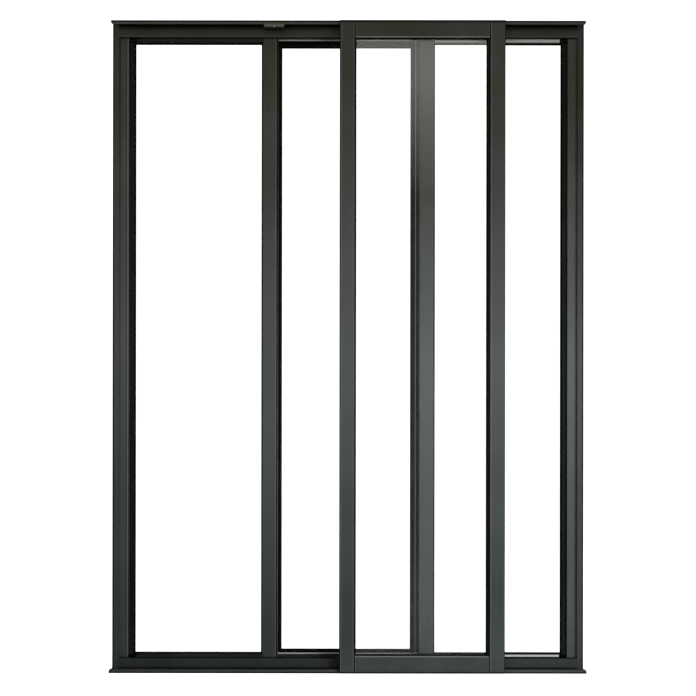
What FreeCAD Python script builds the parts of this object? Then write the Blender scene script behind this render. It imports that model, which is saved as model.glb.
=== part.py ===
"""Glass partition wall with four framed panes: two fixed at the sides and two that slide, one
behind them and one in front.

Frame: X along the wall, +Y to the rear, +Z up, millimetres. The origin is on the sill's underside,
in the middle of its length and depth. Sections are drawn with their depth counted from the front
face of the fascias, and each piece is then placed by the depth that the sill's plate is centred on.
"""
import FreeCAD
import Part
import os
import Sketcher

# Driving sizes: name, millimetres, what it measures.
SIZES = [
    ("wall_length", 1600, "over both jambs"),
    ("wall_height", 2200, "sill underside to head top"),
    ("sill_overhang", 5, "sill past each jamb"),
    ("plate_thickness", 4, "flat plate of head and sill"),
    ("leg_thickness", 3, "upright walls of the frame sections"),
    ("sill_fascia_height", 46, "front leg of the sill"),
    ("head_fascia_height", 52, "front leg of the head"),
    ("rear_leg_height", 36, "rear legs of head and sill"),
    ("sill_divider_height", 50, "wall between middle and rear track, at the sill"),
    ("head_divider_height", 46, "wall between middle and rear track, at the head"),
    ("lip_height", 14, "front track lip"),
    ("track_thickness", 3, "front lip and the fins that carry the leaves"),
    ("fin_height", 10, "fins above the plate"),
    ("jamb_face", 22, "jamb width seen from the front"),
    ("jamb_divider", 16, "jamb wall beside the middle leaves"),
    ("edge_radius", 2, "rounded edges of leaves and jambs"),
    ("fascia_rounding", 1, "rounded edges of the front and rear legs"),
    ("lip_end_radius", 8, "rounded corners of the lips' ends"),
    ("nose_radius", 3.5, "rounded outer edge over the head's lip"),
    ("jamb_nose_radius", 5, "rounded outer front edge of the jambs"),
    ("fixing_hole_radius", 3.5, "screw holes in the jambs"),
    ("fixing_hole_spacing", 600, "between screw holes"),
    ("running_gap", 5, "free space beside a moving leaf"),
    ("rear_gap", 7, "free space behind the rear leaf"),
    ("jamb_gap", 1, "between a fixed leaf and its jamb"),
    ("leaf_width", 556, "each leaf"),
    ("leaf_depth", 32, "each leaf"),
    ("stile_width", 52, "upright members of a leaf"),
    ("sill_sight_line", 54, "fixed leaves' bottom rails, inner edge above the sill underside"),
    ("head_sight_line", 63, "fixed leaves' top rails, inner edge below the head top"),
    ("rear_sill_sight_line", 53, "the rear leaf's bottom rail"),
    ("rear_head_sight_line", 60, "the rear leaf's top rail"),
    ("front_sight_line", 62, "the front leaf's rails"),
    ("leaf_foot", 10, "fixed and rear leaves above the sill underside"),
    ("front_leaf_foot", 5, "front leaf above the sill underside"),
    ("section_wall", 2, "wall of the leaf sections"),
    ("groove_depth", 12, "glazing groove"),
    ("groove_width", 14, "glazing groove"),
    ("glass_thickness", 6, "pane"),
    ("glass_bite", 9, "pane inside the groove"),
    ("gasket_show", 4, "gasket in front of the pane"),
    ("outer_bead", 15, "glazing bead beside the jambs"),
    ("bead_groove", 10, "depth of the outer bead's own groove"),
    ("bead_setback", 5, "bead behind the leaf's face"),
    ("shadow_gap", 3, "groove between the outer bead and its stile"),
    ("strip_width", 6, "slim glazing strips of the front leaf"),
    ("bead_play", 0.5, "bead tongue in the stile's groove"),
    ("rear_leaf_shift", -7, "middle of the rear leaf from the wall's middle"),
    ("front_leaf_shift", 249, "middle of the front leaf from the wall's middle"),
    ("shoe_inset", 90, "end of a leaf to its nearer packer, carrier or guide"),
    ("shoe_length", 60, "packers, carriers and guides"),
    ("shoe_play", 0.5, "shoes inside a rail's channel"),
    ("wheel_tread_radius", 9, "wheel where it rolls"),
    ("wheel_flange_radius", 11.5, "wheel at its rims"),
    ("wheel_width", 10, "wheel"),
    ("wheel_side_gap", 1, "wheel to the cheeks of its carrier"),
    ("tread_play", 0.4, "wheel groove beside the track"),
    ("rolling_gap", 0.3, "wheel tread above the track"),
    ("axle_radius", 3, "wheel axle"),
    ("axle_play", 0.05, "axle in its bores"),
    ("guide_play", 1, "guide slot beside the track"),
    ("stop_place", -250.5, "middle of the track stop from the wall's middle"),
    ("stop_length", 67, "track stop"),
    ("stop_top", 8, "front jaw of the track stop below the head top"),
    ("stop_drop", 31, "underside of the track stop below the head top"),
    ("stop_wall", 5, "jaws of the track stop"),
    ("stop_split", 1, "joint line in the track stop"),
    ("screw_radius", 3.5, "head of the stop's screw"),
    ("screw_head", 2, "head of the stop's screw"),
]

SHEET = "Sizes"
EQUAL = 1e-6


class Term:
    """A number that keeps the sheet formula it comes from."""

    def __init__(self, value, formula=None):
        self.value = value
        self.formula = str(value) if formula is None else formula

    def __add__(self, other):
        other = term(other)
        return Term(self.value + other.value, f"({self.formula} + {other.formula})")

    def __sub__(self, other):
        other = term(other)
        return Term(self.value - other.value, f"({self.formula} - {other.formula})")

    def __rsub__(self, other):
        return term(other) - self

    def __truediv__(self, number):
        return Term(self.value / number, f"({self.formula} / {number})")

    def __mul__(self, number):
        return Term(self.value * number, f"({self.formula} * {number})")

    def __neg__(self):
        return Term(-self.value, f"(-{self.formula})")


def term(number):
    """Take a Term as it is and wrap a plain number."""
    return number if isinstance(number, Term) else Term(number)


class Sheet:
    """The driving sizes by name, each one a Term that points at its cell."""

    def __init__(self, document):
        self.cells = document.addObject("Spreadsheet::Sheet", SHEET)
        for row, (name, value, note) in enumerate(SIZES, 1):
            self.cells.set(f"A{row}", str(value))
            self.cells.set(f"B{row}", note)
            self.cells.setAlias(f"A{row}", name)
            setattr(self, name, Term(value, f"{SHEET}.{name}"))


doc = FreeCAD.newDocument("partition")
size = Sheet(doc)

# Depths behind the fascias' front face.
middle_front = size.leg_thickness + size.running_gap
divider_front = middle_front + size.leaf_depth
rear_front = divider_front + size.leg_thickness + size.running_gap
frame_depth = rear_front + size.leaf_depth + size.rear_gap + size.leg_thickness
front_front = -size.running_gap - size.leaf_depth
lip_front = -size.running_gap - size.leaf_depth / 2 - size.track_thickness / 2
depth_shift = (frame_depth + lip_front) / 2
half_length = size.wall_length / 2


class Leaf:
    """One framed pane: its place, its clearances, its glazing and the track under it."""

    def __init__(self, name, left, front, foot, rear_foot, sights, track_top, beads, slides):
        self.name = name
        self.left = left
        self.front = front
        self.foot = foot
        self.rear_foot = rear_foot
        self.sights = sights
        self.ceilings = [sight - size.groove_depth - size.section_wall for sight in sights]
        self.track_top = track_top
        self.beads = beads
        self.slides = slides


zero = Term(0)
fin_top = size.plate_thickness + size.fin_height
fixed_inset = size.leg_thickness + size.jamb_gap
fixed_sights = (size.sill_sight_line, size.head_sight_line)
plate_clear = size.plate_thickness + size.running_gap
leaves = [
    Leaf("left_leaf", fixed_inset - half_length, middle_front, size.leaf_foot, size.leaf_foot,
         fixed_sights, fin_top, (size.outer_bead, zero), False),
    Leaf("right_leaf", half_length - fixed_inset - size.leaf_width, middle_front, size.leaf_foot,
         size.leaf_foot, fixed_sights, fin_top, (zero, size.outer_bead), False),
    Leaf("rear_leaf", size.rear_leaf_shift - size.leaf_width / 2, rear_front, size.leaf_foot,
         size.leaf_foot, (size.rear_sill_sight_line, size.rear_head_sight_line), fin_top,
         (zero, zero), True),
    Leaf("front_leaf", size.front_leaf_shift - size.leaf_width / 2, front_front,
         size.front_leaf_foot, plate_clear, (size.front_sight_line, size.front_sight_line),
         size.lip_height, (zero, size.strip_width), True),
]

subparts = []


def upright(height):
    """Count a height from the sill's underside."""
    return term(height)


def hanging(height):
    """Count the same height down from the head's top."""
    return size.wall_height - height


def place(part, left, front, bottom=zero):
    """Put a piece drawn at its own zero where the wall has it."""
    part.setExpression("Placement.Base.x", term(left).formula)
    part.setExpression("Placement.Base.y", (front - depth_shift).formula)
    part.setExpression("Placement.Base.z", term(bottom).formula)


def new_body(name):
    """Start the body of one sub-part."""
    body = doc.addObject("PartDesign::Body", name)
    body.Label = name
    body.AllowCompound = True
    subparts.append(body)
    return body


def origin_feature(body, role):
    """Find a plane or an axis of the body's own origin."""
    return next(feature for feature in body.Origin.OriginFeatures if feature.Role == role)


def new_sketch(body, name, plane, start=zero):
    """Attach a sketch to an origin plane, moved along its normal to start."""
    sketch = body.newObject("Sketcher::SketchObject", name)
    sketch.AttachmentSupport = [(origin_feature(body, plane), "")]
    sketch.MapMode = "FlatFace"
    sketch.setExpression("AttachmentOffset.Base.z", term(start).formula)
    return sketch


def bind(sketch, kind, geometry, point, distance):
    """Tie one coordinate of a point, or one radius, to the sheet."""
    place_of_point = (geometry,) if point is None else (geometry, point)
    index = sketch.addConstraint(Sketcher.Constraint(kind, *place_of_point, distance.value))
    sketch.setExpression(f"Constraints[{index}]", distance.formula)


def add_outline(sketch, corners):
    """Draw one closed loop of straight edges through the corners, each tied to the sheet."""
    corners = [(term(first), term(second)) for first, second in corners]
    ends = corners[1:] + corners[:1]
    lines = []
    for start, end in zip(corners, ends):
        line = Part.LineSegment(FreeCAD.Vector(start[0].value, start[1].value, 0),
                                FreeCAD.Vector(end[0].value, end[1].value, 0))
        lines.append(sketch.addGeometry(line, False))
    for line, follower in zip(lines, lines[1:] + lines[:1]):
        sketch.addConstraint(Sketcher.Constraint("Coincident", line, 2, follower, 1))
    for line, (first, second) in zip(lines, corners):
        bind(sketch, "DistanceX", line, 1, first)
        bind(sketch, "DistanceY", line, 1, second)


def add_circle(sketch, first, second, radius):
    """Draw one circle tied to the sheet."""
    centre = FreeCAD.Vector(term(first).value, term(second).value, 0)
    circle = sketch.addGeometry(Part.Circle(centre, FreeCAD.Vector(0, 0, 1), radius.value), False)
    bind(sketch, "DistanceX", circle, 3, term(first))
    bind(sketch, "DistanceY", circle, 3, term(second))
    bind(sketch, "Radius", circle, None, radius)


def rectangle(low_first, low_second, high_first, high_second):
    """List the corners of an upright rectangle."""
    return [(low_first, low_second), (high_first, low_second), (high_first, high_second),
            (low_first, high_second)]


def pad(body, name, plane, start, length, loops):
    """Extrude closed loops along the plane's normal."""
    sketch = new_sketch(body, name + "_section", plane, start)
    for corners in loops:
        add_outline(sketch, corners)
    feature = body.newObject("PartDesign::Pad", name)
    feature.Profile = sketch
    feature.setExpression("Length", length.formula)
    return feature


def cut_through(body, name, sketch):
    """Cut a sketch through the whole body, both ways from its plane."""
    feature = body.newObject("PartDesign::Pocket", name)
    feature.Profile = sketch
    feature.Type = "ThroughAll"
    feature.SideType = "Symmetric"
    return feature


def repeat(body, name, originals, role, spacing, count=2):
    """Repeat features in a row along an axis of the body."""
    pattern = body.newObject("PartDesign::LinearPattern", name)
    pattern.Originals = originals
    pattern.Direction = (origin_feature(body, role), [""])
    pattern.setExpression("Length", (spacing * (count - 1)).formula)
    pattern.Occurrences = count
    body.Tip = pattern
    return pattern


def round_long_edges(body, name, base, radius, plane, corners):
    """Round the edges that run out of the section's plane at the given corners."""
    doc.recompute()
    first, second = {"XY_Plane": (0, 1), "XZ_Plane": (0, 2), "YZ_Plane": (1, 2)}[plane]
    wanted = [(term(one).value, term(other).value) for one, other in corners]
    names = []
    for number, edge in enumerate(base.Shape.Edges, 1):
        ends = [(vertex.Point[first], vertex.Point[second]) for vertex in edge.Vertexes]
        if any(all(abs(end[0] - corner[0]) < EQUAL and abs(end[1] - corner[1]) < EQUAL
                   for end in ends) for corner in wanted):
            names.append(f"Edge{number}")
    fillet = body.newObject("PartDesign::Fillet", name)
    fillet.Base = (base, names)
    fillet.setExpression("Radius", radius.formula)
    return fillet


def make_track(name, level, overhang, fascia_height, divider_height):
    """Head or sill: a plate with the front lip, the fascias, the divider and two fins."""
    body = new_body(name)
    place(body, zero, zero)
    plate_length = size.wall_length + overhang * 2
    lip_back = lip_front + size.track_thickness
    plate = pad(body, name + "_plate", "YZ_Plane", -plate_length / 2, plate_length,
                [[(lip_front, level(0)), (frame_depth, level(0)),
                  (frame_depth, level(size.plate_thickness)),
                  (lip_back, level(size.plate_thickness)), (lip_back, level(size.lip_height)),
                  (lip_front, level(size.lip_height))]])
    if level is hanging:
        plate = round_long_edges(body, name + "_nose", plate, size.nose_radius, "YZ_Plane",
                                 [(lip_front, level(0))])
    round_long_edges(body, name + "_lip_ends", plate, size.lip_end_radius, "XZ_Plane",
                     [(end, level(size.lip_height))
                      for end in (-plate_length / 2, plate_length / 2)])

    fascia_length = size.wall_length - size.jamb_face * 2
    fascias = pad(body, name + "_fascias", "YZ_Plane", -fascia_length / 2, fascia_length,
                  [rectangle(zero, level(0), size.leg_thickness, level(fascia_height)),
                   rectangle(frame_depth - size.leg_thickness, level(0), frame_depth,
                             level(size.rear_leg_height))])
    round_long_edges(body, name + "_fascia_rounding", fascias, size.fascia_rounding, "YZ_Plane",
                     [(zero, level(fascia_height)), (frame_depth, level(size.rear_leg_height))])

    divider_length = size.wall_length - size.jamb_divider * 2
    pad(body, name + "_divider", "YZ_Plane", -divider_length / 2, divider_length,
        [rectangle(divider_front, level(0), divider_front + size.leg_thickness,
                   level(divider_height))])

    fin_length = size.wall_length - size.leg_thickness * 2
    half_fin = size.track_thickness / 2
    middles = (middle_front + size.leaf_depth / 2, rear_front + size.leaf_depth / 2)
    pad(body, name + "_fins", "YZ_Plane", -fin_length / 2, fin_length,
        [rectangle(middle - half_fin, level(0), middle + half_fin, level(fin_top))
         for middle in middles])


def make_jamb(name, inward):
    """Jamb: a web with a front leg, a rear leg and a wall beside the middle leaves."""
    body = new_body(name)
    place(body, -half_length * inward, zero)
    face, web, wall = (length * inward for length in
                       (size.jamb_face, size.leg_thickness, size.jamb_divider))
    rear_leg = frame_depth - size.leg_thickness
    divider_back = divider_front + size.leg_thickness
    outer = [(zero, zero), (face, zero), (face, frame_depth), (zero, frame_depth)]
    section = [outer[0], outer[1], (face, size.leg_thickness), (web, size.leg_thickness),
               (web, divider_front), (wall, divider_front), (wall, divider_back),
               (web, divider_back), (web, rear_leg), (face, rear_leg), outer[2], outer[3]]
    profile = pad(body, name + "_profile", "XY_Plane", size.plate_thickness,
                  size.wall_height - size.plate_thickness * 2, [section])
    nose = round_long_edges(body, name + "_nose", profile, size.jamb_nose_radius, "XY_Plane",
                            [outer[0]])
    round_long_edges(body, name + "_rounding", nose, size.edge_radius, "XY_Plane", [outer[3]])
    holes = new_sketch(body, name + "_hole_row", "YZ_Plane")
    hole_count = 4
    for index in range(hole_count):
        height = size.wall_height / 2 + size.fixing_hole_spacing * (index - (hole_count - 1) / 2)
        add_circle(holes, rear_front + size.leaf_depth / 2, height, size.fixing_hole_radius)
    cut_through(body, name + "_holes", holes)


def across(side, distance):
    """Count a distance from the leaf's left edge, or from its right edge."""
    return term(distance) if side == "left" else size.leaf_width - distance


groove_front = (size.leaf_depth - size.groove_width) / 2
groove_back = (size.leaf_depth + size.groove_width) / 2


def make_stile(leaf, side):
    """Upright member: a tube with the glazing groove along its inner edge."""
    name = f"{leaf.name}_{side}_stile"
    body = new_body(name)
    place(body, leaf.left, leaf.front)
    outer, inner = across(side, 0), across(side, size.stile_width)
    groove_floor = across(side, size.stile_width - size.groove_depth)
    outline = rectangle(outer, zero, inner, size.leaf_depth)
    section = [outline[0], outline[1], (inner, groove_front), (groove_floor, groove_front),
               (groove_floor, groove_back), (inner, groove_back), outline[2], outline[3]]
    chamber = rectangle(across(side, size.section_wall), size.section_wall,
                        across(side, size.stile_width - size.groove_depth - size.section_wall),
                        size.leaf_depth - size.section_wall)
    profile = pad(body, name + "_profile", "XY_Plane", leaf.foot,
                  size.wall_height - leaf.foot * 2, [section, chamber])
    round_long_edges(body, name + "_rounding", profile, size.edge_radius, "XY_Plane", outline)
    cut_track_slots(body, name, leaf)


def cut_track_slots(body, name, leaf):
    """Notch a stile's ends so that it passes over its tracks and clear of the plates."""
    slot_front = size.leaf_depth / 2 - size.track_thickness / 2 - size.running_gap
    slot_back = size.leaf_depth / 2 + size.track_thickness / 2 + size.running_gap
    past = size.leaf_depth + size.running_gap
    slots = new_sketch(body, name + "_slot_outlines", "YZ_Plane")
    for level in (upright, hanging):
        add_outline(slots, [(slot_front, level(0)), (past, level(0)),
                            (past, level(leaf.rear_foot)), (slot_back, level(leaf.rear_foot)),
                            (slot_back, level(leaf.track_top + size.running_gap)),
                            (slot_front, level(leaf.track_top + size.running_gap))])
    cut_through(body, name + "_slots", slots)


def make_rail(leaf, end, level, sight, ceiling):
    """Cross member: a glazing groove on one side and an open channel on the other."""
    name = f"{leaf.name}_{end}_rail"
    body = new_body(name)
    place(body, leaf.left, leaf.front)
    wall, depth = size.section_wall, size.leaf_depth
    inner, groove_floor = level(sight), level(sight - size.groove_depth)
    section = [(zero, level(leaf.foot)), (wall, level(leaf.foot)), (wall, level(ceiling)),
               (depth - wall, level(ceiling)), (depth - wall, level(leaf.rear_foot)),
               (depth, level(leaf.rear_foot)), (depth, inner), (groove_back, inner),
               (groove_back, groove_floor), (groove_front, groove_floor), (groove_front, inner),
               (zero, inner)]
    profile = pad(body, name + "_profile", "YZ_Plane", size.stile_width,
                  size.leaf_width - size.stile_width * 2, [section])
    round_long_edges(body, name + "_rounding", profile, size.edge_radius, "YZ_Plane",
                     [(zero, inner), (depth, inner)])


def make_outer_bead(leaf, side):
    """Wide bead beside a jamb: hooked into the stile's groove, with a groove of its own."""
    name = f"{leaf.name}_bead"
    body = new_body(name)
    place(body, leaf.left, leaf.front)
    hook, seat, face_edge, floor, inner = (across(side, size.stile_width + reach) for reach in (
        size.bead_play - size.groove_depth, zero, size.shadow_gap,
        size.outer_bead - size.bead_groove, size.outer_bead))
    front, back = size.bead_setback, size.leaf_depth - size.bead_setback
    hook_front, hook_back = groove_front + size.bead_play, groove_back - size.bead_play
    pad(body, name + "_profile", "XY_Plane", *pane_height(leaf),
        [[(hook, hook_front), (face_edge, hook_front), (face_edge, front), (inner, front),
          (inner, groove_front), (floor, groove_front), (floor, groove_back),
          (inner, groove_back), (inner, back), (seat, back), (seat, hook_back),
          (hook, hook_back)]])


def make_strips(leaf, side):
    """Slim bead: one strip on each face of the pane, against the stile."""
    name = f"{leaf.name}_bead"
    body = new_body(name)
    place(body, leaf.left, leaf.front)
    seat, inner = (across(side, size.stile_width + reach) for reach in (zero, size.strip_width))
    back = size.leaf_depth - size.bead_setback
    pad(body, name + "_profile", "XY_Plane", *pane_height(leaf),
        [rectangle(seat, size.bead_setback, inner, groove_front),
         rectangle(seat, groove_back, inner, back)])


def pane_height(leaf):
    """Give the lower end and the length of the upright glazing opening."""
    bottom, top = leaf.sights
    return bottom, size.wall_height - bottom - top


def new_box(name, low, high):
    """Make a box between two corners given in the leaf's own frame."""
    box = doc.addObject("Part::Box", name)
    for label, axis, start, end in zip(("Length", "Width", "Height"), "xyz", low, high):
        box.setExpression(label, (end - start).formula)
        box.setExpression(f"Placement.Base.{axis}", term(start).formula)
    return box


def pane_opening(leaf, reach):
    """Give the X range of the glazing opening, widened by reach on each side."""
    left, right = leaf.beads
    return (size.stile_width + left - reach,
            size.leaf_width - size.stile_width - right + reach)


def make_pane(leaf):
    """Glass pane, and the gasket that holds it in the grooves all round."""
    middle = size.leaf_depth / 2
    glass_front, glass_back = middle - size.glass_thickness / 2, middle + size.glass_thickness / 2

    def plate(name, reach, front, back):
        low_x, high_x = pane_opening(leaf, reach)
        bottom, top = leaf.sights
        return new_box(name, (low_x, front, bottom - reach),
                       (high_x, back, hanging(top - reach)))

    pane = plate(f"{leaf.name}_glass", size.glass_bite, glass_front, glass_back)
    move_to_leaf(pane, leaf)
    ring = plate(f"{leaf.name}_gasket_ring", size.glass_bite, groove_front, groove_back)
    window = plate(f"{leaf.name}_gasket_window", -size.gasket_show, groove_front, groove_back)
    slot = plate(f"{leaf.name}_gasket_slot", size.glass_bite, glass_front, glass_back)
    open_ring = doc.addObject("Part::Cut", f"{leaf.name}_gasket_frame")
    open_ring.Base, open_ring.Tool = ring, window
    gasket = doc.addObject("Part::Cut", f"{leaf.name}_gasket")
    gasket.Base, gasket.Tool = open_ring, slot
    subparts.append(gasket)
    place(gasket, leaf.left, leaf.front)


def move_to_leaf(pane, leaf):
    """Place the pane, whose box starts away from the leaf's own zero."""
    low_x = pane_opening(leaf, size.glass_bite)[0]
    place(pane, leaf.left + low_x,
          leaf.front + size.leaf_depth / 2 - size.glass_thickness / 2,
          leaf.sights[0] - size.glass_bite)
    subparts.append(pane)


shoe_front = size.section_wall + size.shoe_play
shoe_back = size.leaf_depth - size.section_wall - size.shoe_play
shoe_spacing = size.leaf_width - size.shoe_inset * 2 - size.shoe_length


def slotted_block(low, slot_top, high, half_slot):
    """Section of a block that stands over a fin: a rectangle with a slot in its low side."""
    middle = size.leaf_depth / 2
    return [(shoe_front, low), (middle - half_slot, low), (middle - half_slot, slot_top),
            (middle + half_slot, slot_top), (middle + half_slot, low), (shoe_back, low),
            (shoe_back, high), (shoe_front, high)]


def make_packers(leaf):
    """Blocks that seat a fixed leaf on the sill and under the head."""
    body = new_body(f"{leaf.name}_packers")
    place(body, leaf.left, leaf.front)
    half_slot = size.track_thickness / 2 + size.guide_play
    blocks = pad(body, body.Name + "_blocks", "YZ_Plane", size.shoe_inset, size.shoe_length,
                 [slotted_block(level(size.plate_thickness), level(fin_top + size.guide_play),
                                level(ceiling), half_slot)
                  for level, ceiling in zip((upright, hanging), leaf.ceilings)])
    repeat(body, body.Name + "_row", [blocks], "X_Axis", shoe_spacing)


def make_guides(leaf):
    """Blocks in the top rail that straddle the head's track."""
    body = new_body(f"{leaf.name}_guides")
    place(body, leaf.left, leaf.front)
    half_slot = size.track_thickness / 2 + size.guide_play
    blocks = pad(body, body.Name + "_blocks", "YZ_Plane", size.shoe_inset, size.shoe_length,
                 [slotted_block(hanging(size.plate_thickness + size.running_gap),
                                hanging(leaf.track_top + size.guide_play * 2),
                                hanging(leaf.ceilings[1]), half_slot)])
    repeat(body, body.Name + "_row", [blocks], "X_Axis", shoe_spacing)


def make_wheels(leaf):
    """Wheels under a sliding leaf, their carriers in the bottom rail and their axles."""
    middle = size.leaf_depth / 2
    axle_height = leaf.track_top + size.rolling_gap + size.wheel_tread_radius
    first_axle = size.shoe_inset + size.shoe_length / 2

    carriers = new_body(f"{leaf.name}_carriers")
    place(carriers, leaf.left, leaf.front)
    half_slot = size.wheel_width / 2 + size.wheel_side_gap
    slot_top = axle_height + size.wheel_flange_radius + size.wheel_side_gap
    block = pad(carriers, carriers.Name + "_blocks", "YZ_Plane", size.shoe_inset,
                size.shoe_length,
                [slotted_block(leaf.track_top + size.running_gap, slot_top, leaf.ceilings[0],
                               half_slot)])
    bore_sketch = new_sketch(carriers, carriers.Name + "_bore_circle", "XZ_Plane")
    add_circle(bore_sketch, first_axle, axle_height, size.axle_radius + size.axle_play)
    bore = cut_through(carriers, carriers.Name + "_bore", bore_sketch)
    repeat(carriers, carriers.Name + "_row", [block, bore], "X_Axis", shoe_spacing)

    wheels = new_body(f"{leaf.name}_wheels")
    place(wheels, leaf.left + first_axle, leaf.front + middle, axle_height)
    half_width = size.wheel_width / 2
    half_tread = size.track_thickness / 2 + size.tread_play
    bore_radius = size.axle_radius + size.axle_play
    rim = half_tread + (size.wheel_flange_radius - size.wheel_tread_radius) / 3
    half_section = new_sketch(wheels, wheels.Name + "_half_section", "YZ_Plane")
    add_outline(half_section,
                [(-half_width, bore_radius), (half_width, bore_radius),
                 (half_width, size.wheel_flange_radius), (rim, size.wheel_flange_radius),
                 (half_tread, size.wheel_tread_radius), (-half_tread, size.wheel_tread_radius),
                 (-rim, size.wheel_flange_radius), (-half_width, size.wheel_flange_radius)])
    turned = wheels.newObject("PartDesign::Revolution", wheels.Name + "_turned")
    turned.Profile = half_section
    turned.ReferenceAxis = (half_section, ["H_Axis"])
    turned.Angle = 360
    repeat(wheels, wheels.Name + "_row", [turned], "X_Axis", shoe_spacing)

    axles = new_body(f"{leaf.name}_axles")
    place(axles, leaf.left + first_axle, leaf.front + shoe_front, axle_height)
    pin_circle = new_sketch(axles, axles.Name + "_circle", "XZ_Plane")
    add_circle(pin_circle, zero, zero, size.axle_radius)
    pin = axles.newObject("PartDesign::Pad", axles.Name + "_pin")
    pin.Profile = pin_circle
    pin.Reversed = True
    pin.setExpression("Length", (shoe_back - shoe_front).formula)
    repeat(axles, axles.Name + "_row", [pin], "X_Axis", shoe_spacing)


def make_stop():
    """Stop clamped on the head's lip, which ends the front leaf's travel, and its screw."""
    body = new_body("track_stop")
    place(body, size.stop_place, zero)
    lip_back = lip_front + size.track_thickness
    jaw_front, jaw_back = lip_front - size.stop_wall, lip_back + size.stop_wall
    pad(body, "track_stop_block", "YZ_Plane", -size.stop_length / 2, size.stop_length,
        [[(jaw_front, hanging(size.stop_drop)), (jaw_back, hanging(size.stop_drop)),
          (jaw_back, hanging(size.plate_thickness)), (lip_back, hanging(size.plate_thickness)),
          (lip_back, hanging(size.lip_height)), (lip_front, hanging(size.lip_height)),
          (lip_front, hanging(size.stop_top)), (jaw_front, hanging(size.stop_top))]])
    joint = new_sketch(body, "track_stop_joint_outline", "XY_Plane")
    add_outline(joint, rectangle(-size.stop_split / 2, jaw_front - size.stop_split,
                                 size.stop_split / 2, jaw_front + size.stop_split))
    cut_through(body, "track_stop_joint", joint)

    screw = doc.addObject("Part::Cylinder", "stop_screw")
    screw.setExpression("Radius", size.screw_radius.formula)
    screw.setExpression("Height", size.screw_head.formula)
    screw.Placement = FreeCAD.Placement(FreeCAD.Vector(), FreeCAD.Rotation(
        FreeCAD.Vector(1, 0, 0), 90))
    place(screw, size.stop_place, jaw_front, hanging(size.stop_drop - size.screw_radius * 2))
    subparts.append(screw)


def make_leaf(leaf):
    """All the pieces of one leaf."""
    for side in ("left", "right"):
        make_stile(leaf, side)
    for end, level, sight, ceiling in zip(("bottom", "top"), (upright, hanging), leaf.sights,
                                          leaf.ceilings):
        make_rail(leaf, end, level, sight, ceiling)
    for side, width in zip(("left", "right"), leaf.beads):
        if width is size.outer_bead:
            make_outer_bead(leaf, side)
        if width is size.strip_width:
            make_strips(leaf, side)
    make_pane(leaf)
    if leaf.slides:
        make_wheels(leaf)
        make_guides(leaf)
    else:
        make_packers(leaf)


def check(document):
    """Stop if a feature failed, a cut took nothing away or a sub-part has no valid solid."""
    for item in document.Objects:
        if "Invalid" in item.State or "Error" in item.State:
            raise RuntimeError(f"{item.Name} failed: {item.State}")
        if item.TypeId == "PartDesign::Pocket":
            if item.Shape.Volume > item.BaseFeature.Shape.Volume - EQUAL:
                raise RuntimeError(f"{item.Name} cuts nothing")
    for part in subparts:
        if part.Shape.isNull() or not part.Shape.isValid() or not part.Shape.Solids:
            raise RuntimeError(f"{part.Label} has no valid solid")


make_track("head_track", hanging, zero, size.head_fascia_height, size.head_divider_height)
make_track("sill_track", upright, size.sill_overhang, size.sill_fascia_height,
           size.sill_divider_height)
make_jamb("left_jamb", 1)
make_jamb("right_jamb", -1)
make_stop()
for framed_pane in leaves:
    make_leaf(framed_pane)
doc.recompute()
check(doc)

os.makedirs("parts", exist_ok=True)
for subpart in subparts:
    subpart.Shape.exportStep(f"parts/{subpart.Label}.step")
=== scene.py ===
"""Looks of the sliding glass partition wall.

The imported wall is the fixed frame. Its sections, panes and fittings get their finishes, the square
rubber rings give way to rolled gaskets, and brush seals, screws and end plugs are added where such
a wall has them. Everything is in metres: X along the wall, +Y to the rear, +Z up.
"""
import math
import typing
from functools import partial

import bmesh
import bpy
import numpy as np
from bpy.props import FloatProperty, FloatVectorProperty, PointerProperty
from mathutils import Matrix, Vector


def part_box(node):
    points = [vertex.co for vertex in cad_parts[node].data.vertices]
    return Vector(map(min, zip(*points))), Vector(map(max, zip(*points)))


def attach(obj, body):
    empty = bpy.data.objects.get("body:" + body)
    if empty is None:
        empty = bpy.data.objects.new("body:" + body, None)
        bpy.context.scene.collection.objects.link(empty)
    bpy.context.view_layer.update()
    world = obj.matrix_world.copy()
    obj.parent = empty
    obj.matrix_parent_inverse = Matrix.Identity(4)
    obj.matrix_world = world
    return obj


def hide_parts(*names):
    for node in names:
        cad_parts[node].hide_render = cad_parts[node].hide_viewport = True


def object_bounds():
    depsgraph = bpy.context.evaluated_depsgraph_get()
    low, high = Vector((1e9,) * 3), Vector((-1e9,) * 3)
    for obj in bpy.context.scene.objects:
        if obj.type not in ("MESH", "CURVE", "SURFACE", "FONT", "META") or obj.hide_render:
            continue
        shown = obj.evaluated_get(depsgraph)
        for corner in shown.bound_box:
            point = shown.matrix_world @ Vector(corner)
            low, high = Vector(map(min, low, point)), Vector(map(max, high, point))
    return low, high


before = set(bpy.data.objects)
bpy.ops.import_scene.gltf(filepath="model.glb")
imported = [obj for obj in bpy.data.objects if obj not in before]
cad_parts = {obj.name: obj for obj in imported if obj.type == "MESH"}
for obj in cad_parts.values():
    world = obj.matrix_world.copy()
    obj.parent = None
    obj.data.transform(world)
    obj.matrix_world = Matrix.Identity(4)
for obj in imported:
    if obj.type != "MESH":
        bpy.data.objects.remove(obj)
cad_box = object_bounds()

bl_info = {
    "name": "Glass Partition Looks",
    "version": (1, 0, 0),
    "blender": (4, 5, 0),
    "location": "3D View > Sidebar > Partition",
    "description": "Finishes, seals and fixings of a sliding glass partition wall",
    "category": "Object",
}

MM = 0.001
BODY_OF_LEAF = {"left_leaf": "frame", "right_leaf": "frame", "rear_leaf": "rear_leaf",
                "front_leaf": "front_leaf"}
SIDES = ("left", "right")
WALL_LOW, WALL_HIGH = cad_box

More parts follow.
